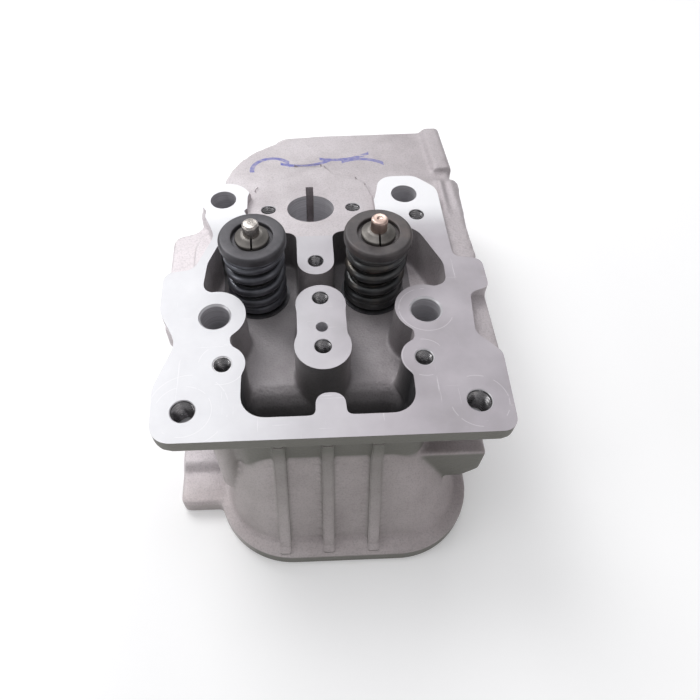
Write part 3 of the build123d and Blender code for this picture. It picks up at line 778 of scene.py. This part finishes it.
def open_port_mouths(raw):
    """Carries each slanting port passage through the port face at its full width."""
    for port, mouth_x in PORT_EXIT_X.items():
        lean = math.atan2(mouth_x - PORT_BEND_X[port], PORT_Y + 1 - PORT_BEND_Y)
        axes = at(mouth_x, PORT_Y + 1, PORT_Z) @ Matrix.Rotation(-lean, 4, "Z") @ PORT_AXES
        passage = [(0, -15), (PORT_R - 0.4, -15), (PORT_R, -13), (PORT_R, 8), (0, 8)]
        cut(raw, turned(passage, axes, 96), "port_mouth")


def casting():
    """The head: its CAD shape with soft cast edges, then machined faces and holes cut crisp."""
    raw = with_stock()
    plug_holes(raw)
    soften(raw)
    add_ribs(raw)
    machine_faces(raw)
    drill_holes(raw)
    bore_valve_holes(raw)
    open_port_mouths(raw)
    paint_casting(raw)
    return raw


FINISHES = ("cast", "machined", "bore", "pad")


def paint_casting(obj):
    """Gives each face of the casting the finish of its surface: as cast, milled or bored."""
    mesh = obj.data
    mesh.materials.clear()
    for key in FINISHES:
        mesh.materials.append(MATS[key])
    count = len(mesh.polygons)
    centre = np.empty(count * 3)
    normal = np.empty(count * 3)
    mesh.polygons.foreach_get("center", centre)
    mesh.polygons.foreach_get("normal", normal)
    centre = centre.reshape(-1, 3) / MM
    normal = normal.reshape(-1, 3)
    finish = np.zeros(count, dtype=np.int32)
    off_pad = np.abs((centre - np.array(INJECTOR)) @ PAD_AXIS)
    milled = FINISHES.index("machined")
    finish[(centre[:, 2] > TOP - 0.01) & (normal[:, 2] > 0.99)] = milled
    finish[(centre[:, 2] < 0.01) & (normal[:, 2] < -0.99)] = milled
    finish[(centre[:, 1] > PORT_Y - 0.01) & (normal[:, 1] > 0.99)] = milled
    finish[(off_pad < 0.01) & (normal @ PAD_AXIS > 0.999)] = FINISHES.index("pad")
    for hole in TAPPED.values():
        mark_bore(finish, centre, hole["m"], hole["r"] + 0.7, -hole["depth"] - 3, 0.0)
    for x, y in BOLTS:
        mark_bore(finish, centre, at(x, y), BOLT_R + 0.75, 0.01, TOP)
    mark_bore(finish, centre, at(*PIN_PLACE, TOP), PIN_R + 0.5, -13, 0.0)
    mark_bore(finish, centre, injector_frame(), INJECTOR_R + 0.02, -60, 0.0)
    for name, (x, y) in VALVES.items():
        mark_bore(finish, centre, at(x, y), HEAD_RADII[name] + SEAT_WALL + 0.05, 0.0, SEAT_DEPTH + 0.01)
        mark_bore(finish, centre, at(x, y), GUIDE_BORE_R + 0.01, 22, FLOOR_Z)
    mesh.polygons.foreach_set("material_index", finish)
    mesh.shade_smooth()
    mesh.set_sharp_from_angle(angle=math.radians(38))


def mark_bore(finish, centre, matrix, radius, low, high):
    """Faces inside a round hole, by its axes, take the bored finish unless they are already milled."""
    inverse = np.array(matrix.inverted())
    local = centre @ inverse[:3, :3].T + inverse[:3, 3]
    height = local[:, 2]
    inside = (np.hypot(local[:, 0], local[:, 1]) < radius) & (height > low - 0.01) & (height < high - 1e-4)
    finish[inside & (finish == FINISHES.index("cast"))] = FINISHES.index("bore")


skin = casting()
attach(skin, "head")
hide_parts("head_casting")
for name, hole in TAPPED.items():
    thread_sleeve("thread_" + name, hole)


# ---------------------------------------------------------------- valve gear
def coil_height(t, turns, closed, low_z, high_z):
    """Height of the wire's middle after t turns: flat ends, and an even rise between them."""
    lead = WIRE_R * 0.55
    if t < closed:
        return low_z + lead * (t / closed)
    if t > turns - closed:
        return high_z - lead * ((turns - t) / closed)
    share = (t - closed) / (turns - 2 * closed)
    ease = share - 0.035 * math.sin(2 * math.pi * share)
    return low_z + lead + (high_z - low_z - 2 * lead) * ease


def spring_mesh(name, side, material):
    """Coil spring with closed, ground ends, inside its CAD solid's box."""
    x, y = VALVES[side]
    coil = SPRING_R - WIRE_R
    end_gap = 0.02
    height = SPRING_HIGH - SPRING_LOW - 2 * end_gap
    turns = 5.9
    closed = 0.85
    steps = int(turns * (72))
    around = 24
    low_z = WIRE_R * 0.62
    high_z = height - low_z
    first_angle = 0.6 if side == "intake" else 2.1
    up = Vector((0, 0, 1))
    verts, faces = [], []
    for i in range(steps + 1):
        t = turns * i / steps
        z = coil_height(t, turns, closed, low_z, high_z)
        a = 2 * math.pi * t + first_angle
        centre = Vector((coil * math.cos(a), coil * math.sin(a), z))
        out = Vector((math.cos(a), math.sin(a), 0))
        taper = min(1.0, 0.55 + 0.45 * min(t, turns - t) / 0.25)
        for k in range(around):
            b = 2 * math.pi * k / around
            p = centre + out * (WIRE_R * math.cos(b)) + up * (WIRE_R * taper * math.sin(b))
            p.z = min(max(p.z, 0.0), height)
            verts.append((p.x + x, p.y + y, p.z + SPRING_LOW + end_gap))
    for i in range(steps):
        for k in range(around):
            n = (k + 1) % around
            faces.append((i * around + k, i * around + n, (i + 1) * around + n, (i + 1) * around + k))
    faces.append(tuple(range(around)))
    faces.append(tuple(reversed(range(steps * around, (steps + 1) * around))))
    obj = make_object(name, verts, faces, [material], sharp_deg=42)
    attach(obj, side + "_spring_pack")
    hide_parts(side + "_spring")
    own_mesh(obj)


def turned_piece(side, part, profile, material):
    """A turned piece of a valve set, in place of its CAD node."""
    verts, faces = lathe(profile, 128)
    obj = make_object(f"{side}_{part}_turned", placed(verts, at(*VALVES[side])), faces, [material])
    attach(obj, side + "_valve_set")
    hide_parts(f"{side}_{part}")


def fillet_arc(cx, cz, r, start, end, steps=5):
    """Profile points of a rounded edge, angles in degrees from +radius towards +height."""
    return [
        (cx + r * math.cos(math.radians(start + (end - start) * k / steps)),
         cz + r * math.sin(math.radians(start + (end - start) * k / steps)))
        for k in range(steps + 1)
    ]


def retainer(side, material):
    """Upper spring plate: a hub inside the spring, a rounded rim and a dished top."""
    profile = [(4.52, HUB_LOW), (HUB_R - 0.6, HUB_LOW), (HUB_R, HUB_LOW + 0.6), (HUB_R, RETAINER_SHELF)]
    profile += fillet_arc(12.0, RETAINER_SHELF + 0.5, 0.5, -90, 0)
    profile += fillet_arc(11.2, RETAINER_TOP - 1.3, 1.3, 0, 90, 8)
    profile += fillet_arc(8.1, RETAINER_TOP - 0.5, 0.5, 90, 180)
    profile += [(7.6, COLLET_SEAT), (COLLET_SEAT_R + 0.06, COLLET_SEAT)]
    turned_piece(side, "retainer", profile, material)


def valve(side, material):
    """A poppet valve: flat head, tulip neck, stem with one groove, and a worn tip."""
    r = HEAD_RADII[side]
    margin = 2.2
    back = margin + r * 0.22
    tulip_r = r * 0.78
    tulip_height = 12
    tulip_steps = 12
    groove = COLLET_SEAT - 3.2
    neck = STEM_R - 0.6
    profile = [(0, 0.8), (r - 0.3, 0.8), (r, 1.1), (r, margin), (tulip_r, back)]
    for k in range(1, tulip_steps + 1):
        share = k / tulip_steps
        radius = STEM_R + (tulip_r - STEM_R) * (1 - share) ** 2.6
        profile.append((radius, back + tulip_height * share ** 1.15))
    profile += [(STEM_R, groove), (neck, groove + 0.3), (neck, groove + 1.7), (STEM_R, groove + 2.0)]
    if side == "intake":
        profile += fillet_arc(STEM_R - 1.1, STEM_TOP - 1.1, 1.1, 0, 80, 6) + [(0.8, STEM_TOP), (0, STEM_TOP)]
    else:
        profile += fillet_arc(STEM_R - 0.8, STEM_TOP - 0.8, 0.8, 0, 80, 6)
        profile += [(1.1, STEM_TOP - 0.02), (0.7, STEM_TOP - 0.35), (0, STEM_TOP - 0.5)]
    turned_piece(side, "valve", profile, material)


def collet(side, hand, material):
    """Half of the split cone, with rounded ends. Hand is -1 on the left and 1 on the right."""
    x, y = VALVES[side]
    bore = STEM_R + 0.03
    half_split = 0.35
    steps = 40
    section = [(bore, HUB_LOW), (COLLET_LOW_R, HUB_LOW), (COLLET_SEAT_R, COLLET_SEAT)]
    section += [(COLLET_R, COLLET_SEAT + 0.2), (COLLET_R, RETAINER_TOP - 0.6)]
    section += fillet_arc(COLLET_R - 0.6, RETAINER_TOP - 0.6, 0.6, 10, 70, 4)
    section += [(5.2, RETAINER_TOP + 0.35), (4.3, RETAINER_TOP + 1.0), (3.8, RETAINER_TOP + 1.3)]
    section += [(bore, RETAINER_TOP + 1.4)]
    verts, faces = [], []
    m = len(section)
    for i in range(steps + 1):
        for radius, z in section:
            reach = math.pi / 2 - math.asin(half_split / radius)
            a = -reach + 2 * reach * i / steps
            verts.append((x + hand * radius * math.cos(a), y + radius * math.sin(a), z))
    for i in range(steps):
        for k in range(m):
            n = (k + 1) % m
            faces.append((i * m + k, i * m + n, (i + 1) * m + n, (i + 1) * m + k))
    faces.append(tuple(range(m)))
    faces.append(tuple(reversed(range(steps * m, (steps + 1) * m))))
    word = "left" if hand < 0 else "right"
    obj = make_object(f"{side}_collet_{word}_turned", verts, faces, [material])
    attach(obj, side + "_valve_set")
    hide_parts(f"{side}_collet_{word}")


KEPT_PIECES = {         # CAD pieces shown as they are, and their finish
    "seat_insert": "seat",
    "guide": "guide",
    "guide_clip": "clip",
    "stem_seal": "rubber",
    "spring_seat": "washer",
}


def dress_kept(side, piece, material):
    """Gives a CAD piece its finish and a fine bevel."""
    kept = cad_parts[f"{side}_{piece}"]
    kept.data.materials.clear()
    kept.data.materials.append(material)
    edge = kept.modifiers.new("edge", "BEVEL")
    edge.width = 0.15 * MM
    edge.segments = 2
    edge.limit_method = "ANGLE"
    edge.angle_limit = math.radians(35)


for side in VALVES:
    warm = "_warm" if side == "exhaust" else ""
    spring_mesh(side + "_spring_coil", side, MATS["spring" + warm])
    retainer(side, MATS["retainer" + warm])
    valve(side, MATS["stem" + warm])
    collet(side, -1, MATS["collet"])
    collet(side, 1, MATS["collet"])
    for piece, key in KEPT_PIECES.items():
        dress_kept(side, piece, MATS[key])


# ---------------------------------------------------------------- floor, light and camera
def stage():
    """A plain white floor."""
    half = 3000
    verts = [(-half, -half, -0.1), (half, -half, -0.1), (half, half, -0.1), (-half, half, -0.1)]
    floor_material, _, shader = new_material("floor")
    shader.inputs["Base Color"].default_value = (0.92, 0.92, 0.92, 1)
    shader.inputs["Emission Color"].default_value = (1.0, 1.0, 1.0, 1)
    shader.inputs["Emission Strength"].default_value = 0.14
    shader.inputs["Roughness"].default_value = 0.9
    floor = make_object("floor", verts, [(0, 1, 2, 3)], [floor_material], smooth=False)


def area_light(name, place, target, size, power, colour=(1, 1, 1)):
    """A rectangular light, in metres and watts, pointed at its target."""
    data = bpy.data.lights.new(name, "AREA")
    data.shape = "RECTANGLE"
    data.size, data.size_y = size
    data.energy = power
    data.color = colour
    obj = bpy.data.objects.new(name, data)
    bpy.context.scene.collection.objects.link(obj)
    obj.location = place
    obj.rotation_euler = (Vector(target) - Vector(place)).to_track_quat("-Z", "Y").to_euler()


CAMERA_PLACE = (-0.0061024, -0.1637697, 0.2286363)
CAMERA_DOWN = 54.5040           # degrees below level
CAMERA_YAW = -0.87718
CAMERA_ROLL = -1.41551
CAMERA_LENS = 30.4934914        # millimetres, on a sensor 36 mm wide
CAMERA_SHIFT = 0.0571428571     # in widths of the sensor


def camera():
    """Looks down from the front, as the photo does, a little rolled and shifted."""
    data = bpy.data.cameras.new("camera")
    data.sensor_width = 36.0
    data.lens = CAMERA_LENS
    data.shift_x = CAMERA_SHIFT
    data.clip_start = 0.01
    obj = bpy.data.objects.new("camera", data)
    bpy.context.scene.collection.objects.link(obj)
    down = math.radians(CAMERA_DOWN)
    yaw = math.radians(CAMERA_YAW)
    roll = math.radians(CAMERA_ROLL)
    turn = Matrix.Rotation(yaw, 3, "Z")
    forward = turn @ Vector((0, math.cos(down), -math.sin(down)))
    right = turn @ Vector((1, 0, 0))
    up = turn @ Vector((0, math.sin(down), math.cos(down)))
    right_r = math.cos(roll) * right + math.sin(roll) * up
    up_r = -math.sin(roll) * right + math.cos(roll) * up
    basis = Matrix((right_r, up_r, -forward)).transposed().to_4x4()
    obj.matrix_world = Matrix.Translation(CAMERA_PLACE) @ basis
    bpy.context.scene.camera = obj


stage()
area_light("key", (-0.42, 0.56, 0.80), (0, 0, 0.05), (0.5, 0.5), 5.0)
area_light("back", (0.25, 0.90, 0.68), (0, 0, 0.05), (0.4, 0.3), 1.6)
area_light("top", (-0.10, 0.10, 0.98), (0, 0, 0.05), (0.7, 0.7), 3.0, (0.98, 0.98, 1.0))
area_light("side", (-0.85, -0.15, 0.42), (0, 0, 0.04), (0.4, 0.4), 1.2)
area_light("fill", (0.6, -0.7, 0.55), (0, 0, 0.03), (0.6, 0.6), 0.5, (1.0, 0.96, 0.93))
world = bpy.data.worlds.new("studio")
world.use_nodes = True
world.node_tree.nodes["Background"].inputs["Color"].default_value = (0.92, 0.92, 0.94, 1)
world.node_tree.nodes["Background"].inputs["Strength"].default_value = 0.34
bpy.context.scene.world = world
bpy.context.scene.view_settings.view_transform = "Standard"
camera()
